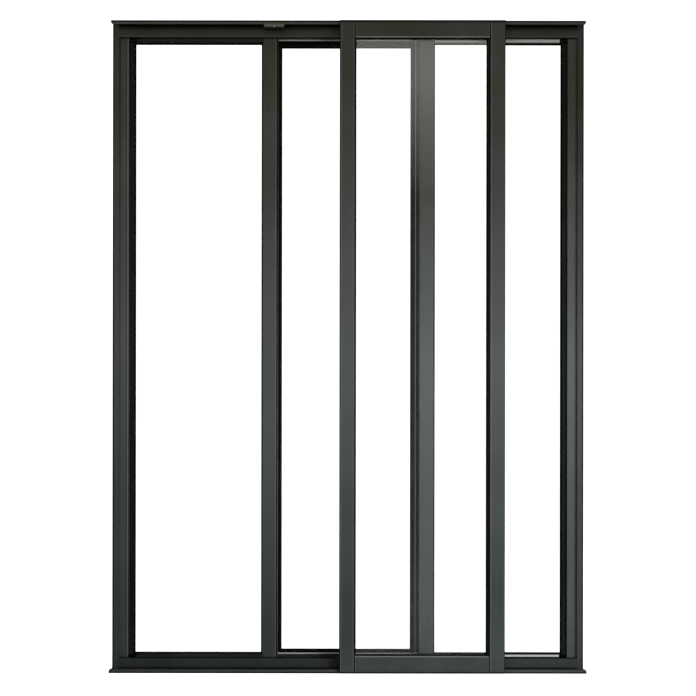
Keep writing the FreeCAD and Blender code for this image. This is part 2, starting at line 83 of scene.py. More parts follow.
# How much lighter or darker each piece's coat is painted, for the light and shade that falls on it.
PAINTED_LIGHT_LIFT = {"head": 0.75, "sill": 0.6, "jamb": 0.75, "bead": 0.12, "left_leaf": 0.9,
         "left_rails": 0.4, "right_leaf": 1.1, "rear_leaf": 1.0, "front_leaf": 0.9}
# Heights at which the coat has its lower, its middle and its upper tone, a painted gradient of light
# and shade.
LOWER_LEVEL, MIDDLE_LEVEL, UPPER_LEVEL = 0.1, 1.1, 2.0
BLACK = (0.001, 0.001, 0.001, 1)
PAINTED_HIGHLIGHT = (0.60, 0.58, 0.55, 1)
GREASE = (0.12, 0.12, 0.115, 1)
DUST = (0.30, 0.29, 0.27, 1)
DUST_ON_BLACK = (0.22, 0.21, 0.20, 1)


class CoatFinish(bpy.types.PropertyGroup):
    """Dark satin coating of the aluminium."""
    # The three tones, blended with height, paint light and shade: dark at the head and near the
    # sill, lit at half height.
    upper_tone: FloatVectorProperty(
        name="Upper tone", description="Coating near the head", subtype="COLOR", size=3,
        min=0, max=1, default=(0.016, 0.013, 0.003))
    middle_tone: FloatVectorProperty(
        name="Middle tone", description="Coating at half height", subtype="COLOR", size=3,
        min=0, max=1, default=(0.055, 0.058, 0.058))
    lower_tone: FloatVectorProperty(
        name="Lower tone", description="Coating near the sill", subtype="COLOR", size=3,
        min=0, max=1, default=(0.021, 0.0255, 0.0265))
    roughness: FloatProperty(
        name="Roughness", description="How satin the coating is", subtype="FACTOR",
        min=0, max=1, default=0.42)
    peel: FloatProperty(
        name="Peel", description="Strength of the coating's fine ripple", subtype="FACTOR",
        min=0, max=1, default=0.12)


class SealSizes(bpy.types.PropertyGroup):
    """Gaskets round the panes and brush seals between the sections."""
    seat: FloatProperty(
        name="Gasket seat", description="Gasket inside the glazing groove", unit="LENGTH",
        default=9 * MM)
    show: FloatProperty(
        name="Gasket show", description="Gasket seen in front of the pane", unit="LENGTH",
        default=4.2 * MM)
    brush_width: FloatProperty(
        name="Brush width", description="Width of a pile strip", unit="LENGTH", default=6 * MM)
    brush_play: FloatProperty(
        name="Brush play", description="Tips short of the face they sweep", unit="LENGTH",
        default=0.3 * MM)
    tuft: FloatProperty(
        name="Tuft", description="Length of one tuft along the strip", unit="LENGTH",
        default=5 * MM)


class FixingSizes(bpy.types.PropertyGroup):
    """Screws of the leaves' corners, of head and sill and of the track stop."""
    head_radius: FloatProperty(
        name="Head radius", description="Pan heads of the leaves, head and sill",
        unit="LENGTH", default=4.2 * MM)
    head_height: FloatProperty(
        name="Head height", description="Pan heads above their face", unit="LENGTH",
        default=1.4 * MM)
    socket: FloatProperty(
        name="Socket", description="Half the width across the flats of a socket", unit="LENGTH",
        default=1.5 * MM)
    plate_spacing: FloatProperty(
        name="Plate spacing", description="Between the screws of the head and sill",
        unit="LENGTH", default=250 * MM)


class Studio(bpy.types.PropertyGroup):
    """Camera and light."""
    lens: FloatProperty(
        name="Lens", description="Focal length on a 36 mm sensor", unit="CAMERA",
        default=45.74)
    eye_distance: FloatProperty(
        name="Eye distance", description="Camera in front of the wall's middle", unit="LENGTH",
        default=3.03375)
    eye_height: FloatProperty(
        name="Eye height", description="Camera above the floor", unit="LENGTH", default=0.998)
    key_power: FloatProperty(
        name="Key lamp", description="Large lamp at the front right", unit="POWER",
        default=23.5)
    fill_power: FloatProperty(
        name="Fill lamp", description="Soft lamp at the upper left", unit="POWER", default=5.5)
    floor_tone: FloatVectorProperty(
        name="Floor tone", description="Plain pale floor", subtype="COLOR", size=3,
        min=0, max=1, default=(0.93, 0.93, 0.92))


def feed(tree, node, values):
    """Link or set inputs of a node."""
    for key, value in values.items():
        if isinstance(value, bpy.types.NodeSocket):
            tree.links.new(value, node.inputs[key])
        else:
            node.inputs[key].default_value = value


def put(tree, kind, values=None, **settings):
    """Add a shader node, set its properties, and link or set its inputs."""
    node = tree.nodes.new("ShaderNode" + kind)
    for name, value in settings.items():
        setattr(node, name, value)
    feed(tree, node, values or {})
    return node


def maths(tree, operation, *values, clamp=False):
    """Add a Math node and give its output."""
    return put(tree, "Math", dict(enumerate(values)), operation=operation,
               use_clamp=clamp).outputs[0]


def times(tree, *values, clamp=False):
    """Multiply two values and give the result."""
    return maths(tree, "MULTIPLY", *values, clamp=clamp)


def blend(tree, share, first, second):
    """Mix two colours by a share and give the result."""
    values = {0: share, 6: first, 7: second}
    return put(tree, "Mix", values, data_type="RGBA").outputs[2]


def span(tree, value, low, high, start=0.0, end=1.0):
    """Map a value from one range to another and hold it there."""
    values = {"Value": value, "From Min": low, "From Max": high, "To Min": start, "To Max": end}
    return put(tree, "MapRange", values).outputs[0]


def noise(tree, place, scale, detail, **more):
    """Add a Noise Texture node and give its value."""
    values = {"Vector": place, "Scale": scale, "Detail": detail, **more}
    return put(tree, "TexNoise", values).outputs["Fac"]


def new_group(name, inputs, output):
    """Start a shader node group and give its tree, its inputs and its one output."""
    tree = bpy.data.node_groups.new(name, "ShaderNodeTree")
    for label, kind, default in inputs:
        socket = tree.interface.new_socket(label, in_out="INPUT",
                                           socket_type="NodeSocket" + kind)
        if default is not None:
            socket.default_value = default
    tree.interface.new_socket(output, in_out="OUTPUT", socket_type="NodeSocketFloat")
    start, end = tree.nodes.new("NodeGroupInput"), tree.nodes.new("NodeGroupOutput")
    return tree, start.outputs, end.inputs[0]


def make_die_lines():
    """Faint lines that the die leaves along a section, from noise stretched along its run."""
    tree, given, result = new_group(
        "die_lines", [("Place", "Vector", None), ("Repeats", "Vector", (900, 900, 3))],
        "Lines")
    spread = put(tree, "VectorMath", {0: given["Place"], 1: given["Repeats"]},
                 operation="MULTIPLY").outputs[0]
    grain = noise(tree, spread, scale=1, detail=3, Roughness=0.6)
    tree.links.new(span(tree, grain, 0.3, 0.7), result)
    return tree


def make_ripple():
    """Even fine ripple of a sprayed or moulded skin."""
    tree, given, result = new_group(
        "ripple", [("Place", "Vector", None), ("Repeats", "Float", 700)], "Ripple")
    grain = noise(tree, given["Place"], scale=given["Repeats"], detail=2, Roughness=0.5)
    tree.links.new(grain, result)
    return tree


def make_settled_dust():
    """Dust on faces that look up and near the floor, broken up by noise."""
    tree, given, result = new_group("settled_dust", [("Place", "Vector", None),
                                                     ("Amount", "Float", 0.3)], "Dust")
    normal = put(tree, "SeparateXYZ", {0: put(tree, "NewGeometry").outputs["Normal"]})
    place = put(tree, "SeparateXYZ", {0: given["Place"]})
    upward = span(tree, normal.outputs["Z"], 0.5, 1)
    low = span(tree, place.outputs["Z"], 0.30, 0.0, 0, 0.25)
    patches = noise(tree, given["Place"], scale=60, detail=5, Roughness=0.7)
    caught = times(tree, maths(tree, "MAXIMUM", upward, low), span(tree, patches, 0.35, 0.7))
    tree.links.new(times(tree, caught, given["Amount"], clamp=True), result)
    return tree


def make_hand_marks():
    """Smudges left by hands: large soft patches crossed by finer wiping streaks."""
    tree, given, result = new_group("hand_marks", [("Place", "Vector", None)], "Marks")
    patches = noise(tree, given["Place"], scale=5, detail=2)
    wiped = noise(tree, given["Place"], scale=45, detail=4, Distortion=1.5)
    tree.links.new(times(tree, span(tree, patches, 0.5, 0.75), span(tree, wiped, 0.4, 0.7),
                         clamp=True), result)
    return tree


def make_stripe():
    """Stripe on both sides of a plane, with soft borders, from the distance to it.

    A second coordinate keeps it between a low and a high limit."""
    tree, given, result = new_group(
        "stripe", [("Coordinate", "Float", 0), ("At", "Float", 0), ("Half", "Float", MM),
                   ("Soft", "Float", 0.5 * MM), ("Other", "Float", 0), ("Low", "Float", -9),
                   ("High", "Float", 9)], "Stripe")
    off = maths(tree, "ABSOLUTE", maths(tree, "SUBTRACT", given["Coordinate"], given["At"]))
    outside = maths(tree, "DIVIDE", maths(tree, "SUBTRACT", off, given["Half"]), given["Soft"])
    inside = maths(tree, "SUBTRACT", 1, outside, clamp=True)
    above = maths(tree, "GREATER_THAN", given["Other"], given["Low"])
    below = maths(tree, "LESS_THAN", given["Other"], given["High"])
    kept = times(tree, above, below)
    tree.links.new(times(tree, inside, kept), result)
    return tree


def make_rounded_edge():
    """Share of 1 on rounded long edges, where a face looks between two axes.

    It grows with the product of the normal's parts along Y and along X or Z."""
    tree, given, result = new_group("rounded_edge", [("Start", "Float", 0.04)], "Edge")
    normal = put(tree, "SeparateXYZ", {0: put(tree, "NewGeometry").outputs["Normal"]}).outputs
    pairs = [maths(tree, "ABSOLUTE", times(tree, normal[first], normal[second]))
             for first, second in ("XY", "YZ")]
    tree.links.new(span(tree, maths(tree, "MAXIMUM", *pairs), given["Start"], 0.2), result)
    return tree


GROUP_MAKERS = {"die_lines": make_die_lines, "ripple": make_ripple,
                "settled_dust": make_settled_dust, "hand_marks": make_hand_marks,
                "stripe": make_stripe, "rounded_edge": make_rounded_edge}


def effect(tree, name, values):
    """Place a shared effect in a material, making its group the first time."""
    group = bpy.data.node_groups.get(name) or GROUP_MAKERS[name]()
    return put(tree, "Group", values, node_tree=group).outputs[0]


def start_material(name):
    """New material, its node tree, its main shader and the place on the object."""
    material = bpy.data.materials.new(name)
    material.use_nodes = True
    tree = material.node_tree
    shader = tree.nodes["Principled BSDF"]
    place = put(tree, "TexCoord").outputs["Object"]
    return material, tree, shader, place


def relief(tree, shader, height, depth, strength=1.0, under=None):
    """Feed a height into the shader's normal through a Bump node."""
    values = {"Height": height, "Distance": depth, "Strength": strength}
    if under is not None:
        values["Normal"] = under
    normal = put(tree, "Bump", values).outputs["Normal"]
    tree.links.new(normal, shader.inputs["Normal"])
    return normal


class Stripe(typing.NamedTuple):
    """A line on a coating: across one axis at a place, and kept between limits on another.

    Half is half its width, share how far it covers the coat and soft its borders' width."""
    axis: str
    at: float
    half: float
    share: float = 0.9
    soft: float = 0.5 * MM
    other: str = "X"
    low: float = -9.0
    high: float = 9.0


def striped(tree, axes, tone, stripes, colour):
    """Lay stripes of one colour over a tone."""
    for stripe in stripes:
        line = effect(tree, "stripe", {
            "Coordinate": axes[stripe.axis], "At": stripe.at, "Half": stripe.half,
            "Soft": stripe.soft, "Other": axes[stripe.other], "Low": stripe.low,
            "High": stripe.high})
        tone = blend(tree, times(tree, line, stripe.share), tone, colour)
    return tone


def coated_aluminium(name, finish, run, lift, shaded=(), light=(), dark=(), painted_edge_tone=BLACK):
    """Dark satin coating on an extruded section whose length runs along X or Z.

    The tone passes from the upper through the middle to the lower colour with height, a painted
    gradient of light and shade, all times the lift, which paints each piece lighter or darker for
    the light on it, and noise shifts it a little; die lines, hand marks and dust vary it and its
    gloss, die lines and ripple its relief. Shaded stripes are painted shade, light ones are painted
    highlights and painted reflections, dark ones are seams and painted shadow lines; rounded edges
    get a painted tone, dark for their painted shade or pale for their painted highlight."""
    material, tree, shader, place = start_material(name)
    axes = put(tree, "SeparateXYZ", {0: place}).outputs
    height = axes["Z"]
    upper, middle, lower = ((*(lift * part for part in tone), 1) for tone in (
        finish.upper_tone, finish.middle_tone, finish.lower_tone))
    # Painted light and shade: the tone goes with height from the lower through the middle to the
    # upper tone.
    tone = blend(tree, span(tree, height, LOWER_LEVEL, MIDDLE_LEVEL), lower, middle)
    tone = blend(tree, span(tree, height, MIDDLE_LEVEL, UPPER_LEVEL), tone, upper)
    repeats = (3, 900, 900) if run == "X" else (900, 900, 3)
    lines = effect(tree, "die_lines", {"Place": place, "Repeats": repeats})
    ripple = effect(tree, "ripple", {"Place": place, "Repeats": 650.0})
    marks = effect(tree, "hand_marks", {"Place": place})
    dust = effect(tree, "settled_dust", {"Place": place, "Amount": 0.12})
    cloud = noise(tree, place, scale=2.5, detail=3)
    pale = tuple(1.5 * part for part in middle[:3]) + (1,)
    tone = blend(tree, span(tree, cloud, 0.35, 0.7, 0, 0.35), tone, pale)
    tone = blend(tree, times(tree, lines, 0.22), tone, pale)
    tone = blend(tree, times(tree, marks, 0.05), tone, GREASE)
    tone = blend(tree, dust, tone, DUST)
    # Shaded stripes are painted shade.
    tone = striped(tree, axes, tone, shaded, BLACK)
    # Light stripes are painted highlights and painted reflections.
    tone = striped(tree, axes, tone, light, PAINTED_HIGHLIGHT)
    # Rounded edges get a painted tone: dark as painted shade by default, pale as a painted
    # highlight.
    tone = blend(tree, effect(tree, "rounded_edge", {}), tone, painted_edge_tone)
    # Dark stripes are seams and painted shadow lines.
    tone = striped(tree, axes, tone, dark, BLACK)
    rough = maths(tree, "ADD", finish.roughness, times(tree, lines, 0.06))
    rough = maths(tree, "ADD", rough, times(tree, marks, 0.10))
    rough = maths(tree, "ADD", rough, times(tree, dust, 0.5), clamp=True)
    feed(tree, shader, {"Base Color": tone, "Roughness": rough, "Specular IOR Level": 0.15})
    fine = relief(tree, shader, ripple, 0.05 * MM, finish.peel)
    relief(tree, shader, lines, 0.02 * MM, 0.3, fine)
    return material


def clear_pane(name):
    """Clear float glass, a little green, with wiped smudges that only dull it.

    Shadow and diffuse rays pass straight through, so the light behind a pane counts once."""
    material, tree, shader, place = start_material(name)
    marks = effect(tree, "hand_marks", {"Place": place})
    tint = blend(tree, span(tree, marks, 0, 1, 0, 0.3), (0.992, 1.0, 0.994, 1),
                 (0.97, 0.98, 0.972, 1))
    feed(tree, shader, {"Base Color": tint, "Roughness": times(tree, marks, 0.03),
                        "Transmission Weight": 1, "IOR": 1.5})
    clear = put(tree, "BsdfTransparent", {"Color": (0.94, 0.95, 0.94, 1)})
    ray = put(tree, "LightPath").outputs
    straight = maths(tree, "MAXIMUM", ray["Is Shadow Ray"], ray["Is Diffuse Ray"])
    mixed = put(tree, "MixShader", {0: straight, 1: shader.outputs[0], 2: clear.outputs[0]})
    tree.links.new(mixed.outputs[0], tree.nodes["Material Output"].inputs["Surface"])
    return material


def rubber(name):
    """Matt black rubber with a fine ripple and a faint bloom."""
    material, tree, shader, place = start_material(name)
    ripple = effect(tree, "ripple", {"Place": place, "Repeats": 1400.0})
    bloom = noise(tree, place, scale=30, detail=4)
    tone = blend(tree, span(tree, bloom, 0.45, 0.8, 0, 0.5), BLACK, (0.004, 0.004, 0.004, 1))
    dust = effect(tree, "settled_dust", {"Place": place, "Amount": 0.01})
    feed(tree, shader, {"Base Color": blend(tree, dust, tone, DUST_ON_BLACK),
                        "Roughness": span(tree, bloom, 0.3, 0.8, 0.72, 0.85),
                        "Specular IOR Level": 0.05})
    relief(tree, shader, ripple, 0.08 * MM, 0.35)
    return material


def moulded_plastic(name):
    """Black moulded plastic, spark-textured, with scuffs that shine."""
    material, tree, shader, place = start_material(name)
    spark = effect(tree, "ripple", {"Place": place, "Repeats": 1800.0})
    marks = effect(tree, "hand_marks", {"Place": place})
    dust = effect(tree, "settled_dust", {"Place": place, "Amount": 0.5})
    tone = blend(tree, marks, (0.014, 0.014, 0.015, 1), (0.035, 0.035, 0.036, 1))
    feed(tree, shader, {"Base Color": blend(tree, dust, tone, DUST_ON_BLACK),
                        "Roughness": span(tree, marks, 0, 1, 0.5, 0.32)})
    relief(tree, shader, spark, 0.06 * MM, 0.4)
    return material


def turned_steel(name):
    """Bright zinc-plated steel with fine turning lines and dull patches."""
    material, tree, shader, place = start_material(name)
    lines = effect(tree, "die_lines", {"Place": place, "Repeats": (2500, 200, 2500)})
    dull = noise(tree, place, scale=220, detail=4)
    tone = blend(tree, span(tree, dull, 0.4, 0.75, 0, 0.6), (0.66, 0.66, 0.64, 1),
                 (0.45, 0.44, 0.40, 1))
    feed(tree, shader, {"Base Color": tone, "Metallic": 1,
                        "Roughness": span(tree, lines, 0, 1, 0.12, 0.26)})
    relief(tree, shader, lines, 0.02 * MM, 0.3)
    return material


def pile_fibre(name):
    """Black, matt brush pile, with its fibres as noise drawn out along Y."""
    material, tree, shader, place = start_material(name)
    fibres = effect(tree, "die_lines", {"Place": place, "Repeats": (2600, 60, 2600)})
    tone = blend(tree, fibres, (0.004, 0.004, 0.004, 1), (0.035, 0.034, 0.033, 1))
    feed(tree, shader, {"Base Color": tone, "Specular IOR Level": 0.15, "Sheen Weight": 0.25,
                        "Roughness": span(tree, fibres, 0, 1, 0.95, 0.75)})
    relief(tree, shader, fibres, 0.25 * MM, 0.8)
    return material


def straight_share(tree):
    """Share of 1 for rays that come straight from the camera, also through panes.

    Cycles counts a pane as two more bounces, so on a face such a ray has an even depth."""
    ray = put(tree, "LightPath").outputs
    passing = times(tree, ray["Is Transmission Ray"],
                    maths(tree, "SUBTRACT", 1, maths(tree, "MODULO", ray["Ray Depth"], 2)))
    return maths(tree, "MAXIMUM", ray["Is Camera Ray"], passing)


def mirrored_share(tree):
    """Share of 1 for rays that a face mirrors, and 0 for those that pass through a pane."""
    ray = put(tree, "LightPath").outputs
    return times(tree, ray["Is Glossy Ray"],
                 maths(tree, "SUBTRACT", 1, ray["Is Transmission Ray"]))


def pale_floor(name, tone):
    """Plain pale floor with a faint cloudiness. It glows where it is looked at, and faces
    mirror little of it."""
    material, tree, shader, place = start_material(name)
    cloud = noise(tree, place, scale=0.8, detail=3)
    darker = tuple(0.985 * part for part in tone)
    feed(tree, shader, {"Base Color": blend(tree, cloud, (*tone, 1), (*darker, 1)),
                        "Roughness": 0.9, "Specular IOR Level": 0.1})
    glow = put(tree, "Emission", {"Color": (1, 1, 1, 1), "Strength": 0.8})
    lit = put(tree, "AddShader", {0: shader.outputs[0], 1: glow.outputs[0]})
    seen = put(tree, "MixShader", {0: straight_share(tree), 1: shader.outputs[0],
                                   2: lit.outputs[0]})
    dim = put(tree, "BsdfDiffuse", {"Color": (0.03, 0.03, 0.03, 1)})
    floor = put(tree, "MixShader", {0: mirrored_share(tree), 1: seen.outputs[0],
                                    2: dim.outputs[0]})
    tree.links.new(floor.outputs[0], tree.nodes["Material Output"].inputs["Surface"])
    return material


MATERIAL_MAKERS = {"clear_pane": clear_pane, "gasket_rubber": rubber,
                   "moulded_plastic": moulded_plastic, "turned_steel": turned_steel,
                   "pile_fibre": pile_fibre}


def material_named(name):
    """Give a material, making it the first time."""
    return bpy.data.materials.get(name) or MATERIAL_MAKERS[name](name)


def dress(node, material):
    """Give a node of the frame its finish."""
    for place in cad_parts[node].material_slots:
        place.material = material


def grid_faces(rows, columns, close_rows=False):
    """Four-cornered faces of a grid of points whose columns close on themselves.

    A face joins a point, the next in its row and the two beside them in the row after."""
    last = rows if close_rows else rows - 1
    row = np.arange(last)[:, None]
    column = np.arange(columns)[None, :]
    after, beside = (row + 1) % rows, (column + 1) % columns
    corners = [row * columns + column, row * columns + beside, after * columns + beside,
               after * columns + column]
    return np.stack(np.broadcast_arrays(*corners), axis=-1).reshape(-1, 4)


def tube_faces(rings, segments):
    """Faces of a tube of rings, with one face over each end."""
    last = (rings - 1) * segments
    return [*grid_faces(rings, segments).tolist(), list(range(segments)),
            list(range(last, last + segments))]


def place_in_scene(name, data):
    """Make an object of some data and link it into the scene."""
    thing = bpy.data.objects.new(name, data)
    bpy.context.scene.collection.objects.link(thing)
    return thing


def add_piece(name, points, faces, material, body, slot, sharp=35):
    """Turn points and faces into a closed piece of the object that rides on a body."""
    mesh = bpy.data.meshes.new(name)
    mesh.from_pydata(points.tolist(), [], faces)
    shell = bmesh.new()
    shell.from_mesh(mesh)
    bmesh.ops.recalc_face_normals(shell, faces=shell.faces)
    shell.to_mesh(mesh)
    shell.free()
    mesh.shade_smooth()
    mesh.set_sharp_from_angle(angle=math.radians(sharp))
    mesh.materials.append(material)
    piece = place_in_scene(name, mesh)
    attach(piece, body)
    return piece


def gasket_profile(seat, show, depth):
    """Section of a gasket, as pairs of inset from the opening's edge and lift off the glass.

    The seat fills the groove; from the groove's lip the outer face falls to the glass as a
    cosine to the power of 0.8, and ends in an elliptic nose. Lip and shoulder, where slope
    and nose start, are shares of what shows; crest and toe, their heights, of the depth."""
    lip, shoulder, toe, crest = 0.04, 0.90, 0.12, 0.96
    share = np.linspace(0, 1, 9)
    fall = np.cos(share * math.pi / 2) ** 0.8
    slope = np.stack([show * (lip + (shoulder - lip) * share),
                      depth * (toe + (crest - toe) * fall)], axis=1)
    turn = np.linspace(0, math.pi / 2, 4)[1:]
    nose = np.stack([show * (shoulder + (1 - shoulder) * np.sin(turn)),
                     depth * toe * np.cos(turn)], axis=1)
    off_glass, top = 0.05 * MM, depth * crest
    back = np.array([(0.0, off_glass), (-seat, off_glass), (-seat, top), (-0.2 * MM, top)])
    nose[-1, 1] = off_glass
    return np.concatenate([slope, nose, back])


def carried_round(low, high, profile, face, outward, rise):
    """Carry a profile round the four sides of an opening, with mitred corners.

    A profile point's path is the opening's rectangle moved in by its inset, by rise times
    the inset at the rails, in the plane that stands off the glass face by its lift."""
    corners = np.array([(low.x, low.z), (high.x, low.z), (high.x, high.z), (low.x, high.z)])
    inward = np.array([(1, rise), (-1, rise), (-1, -rise), (1, -rise)])
    plan = corners[:, None] + inward[:, None] * profile[None, :, :1]
    depth = np.broadcast_to(face + outward * profile[:, 1], plan.shape[:2])
    return np.stack([plan[..., 0], depth, plan[..., 1]], axis=-1).reshape(-1, 3)


def brush_strip(start, along, length, outward, reach, width, tuft, seed):
    """A pile strip of the given length: a flared pad carried along a straight line.

    The section is a base of the full width that narrows and then flares to the tip. Along
    the strip the tip drops by the sum of three sines of unlike pitch, and the flanks sway by
    another, so that the tufts are uneven."""
    steps = max(int(length / (tuft / 4)), 2)
    run = np.linspace(0, length, steps)[:, None]
    section = np.array([(-0.5, 0), (-0.5, 0.14), (-0.34, 0.16), (-0.36, 0.55), (-0.42, 0.90),
                        (-0.25, 0.98), (0.0, 1.0), (0.25, 0.98), (0.42, 0.90),
                        (0.36, 0.55), (0.34, 0.16), (0.5, 0.14), (0.5, 0)])
    phase = np.random.default_rng(seed).uniform(0, 2 * math.pi, 4)
    wave = 2 * math.pi * run / tuft
    drop = (np.sin(wave + phase[0]) + np.sin(wave * 0.37 + phase[1])
            + np.sin(wave * 1.63 + phase[2]) + 3) / 6
    sway = np.sin(wave * 0.71 + phase[3])
    tip = section[None, :, 1] ** 3
    out = reach * (section[None, :, 1] - 0.07 * tip * drop)
    side = width * (section[None, :, 0] + 0.05 * tip * sway)
    across = along.cross(outward)
    points = (np.array(start) + run[..., None] * np.array(along)
              + out[..., None] * np.array(outward) + side[..., None] * np.array(across))
    return points.reshape(-1, 3), tube_faces(steps, len(section))


def joined(shapes):
    """Put several point and face sets into one."""
    points, faces, count = [], [], 0
    for shape_points, shape_faces in shapes:
        points.append(shape_points)
        faces += [[corner + count for corner in face] for face in shape_faces]
        count += len(shape_points)
    return np.concatenate(points), faces


def pan_head(centre, outward, radius, height, socket):
    """A pan head with a six-sided socket, as rings of points about its axis.

    A ring's radius is a circle's outside, and in the socket it is a hexagon's, the flat's
    distance over the cosine of the angle from the nearest flat. A ring is given by its
    radius, its share of the head's height, and 1 where it is a hexagon."""
    segments = 36
    angle = np.arange(segments) * 2 * math.pi / segments
    hexagon = 1 / np.cos((angle + math.pi / 6) % (math.pi / 3) - math.pi / 6)
    rings = [(radius, 0, 0), (radius, 0.30, 0), (0.96 * radius, 0.55, 0),
             (0.84 * radius, 0.80, 0), (0.68 * radius, 0.96, 0), (0.58 * radius, 1, 0),
             (1.06 * socket, 1, 1), (socket, 0.94, 1), (0.98 * socket, 0.30, 1),
             (0.5 * socket, 0.22, 1)]
    reach, level, six = (np.array(column, float)[:, None] for column in zip(*rings))
    ring = reach * (1 + six * (hexagon - 1))
    outward = Vector(outward)
    side = outward.orthogonal().normalized()
    other = outward.cross(side)
    points = (np.array(centre) + (ring * np.cos(angle))[..., None] * np.array(side)
              + (ring * np.sin(angle))[..., None] * np.array(other)
              + (level * height * np.ones(segments))[..., None] * np.array(outward))
    return points.reshape(-1, 3), tube_faces(len(rings), segments)


def end_plug(centre, half_x, half_y, thickness, upward):
    """A plug for the end of a tube: rings of a rounded rectangle that shrink at the rim.

    The outline is a superellipse of the eighth power, with softly rounded corners: a
    coordinate is the cosine or sine to the power of 2/8, with its own sign."""
    segments, power = 48, 8
    angle = (np.arange(segments) + 0.5) * 2 * math.pi / segments
    cosine, sine = np.cos(angle), np.sin(angle)
    outline_x = np.sign(cosine) * np.abs(cosine) ** (2 / power)
    outline_y = np.sign(sine) * np.abs(sine) ** (2 / power)
    shrink = np.array([0, 0, 0.1, 0.35])[:, None] * MM
    level = np.array([-thickness, -0.4 * MM, -0.1 * MM, 0])[:, None] * upward
    points = np.stack([centre[0] + (half_x - shrink) * outline_x,
                       centre[1] + (half_y - shrink) * outline_y,
                       centre[2] + level * np.ones(segments)], axis=-1)
    return points.reshape(-1, 3), tube_faces(len(shrink), segments)


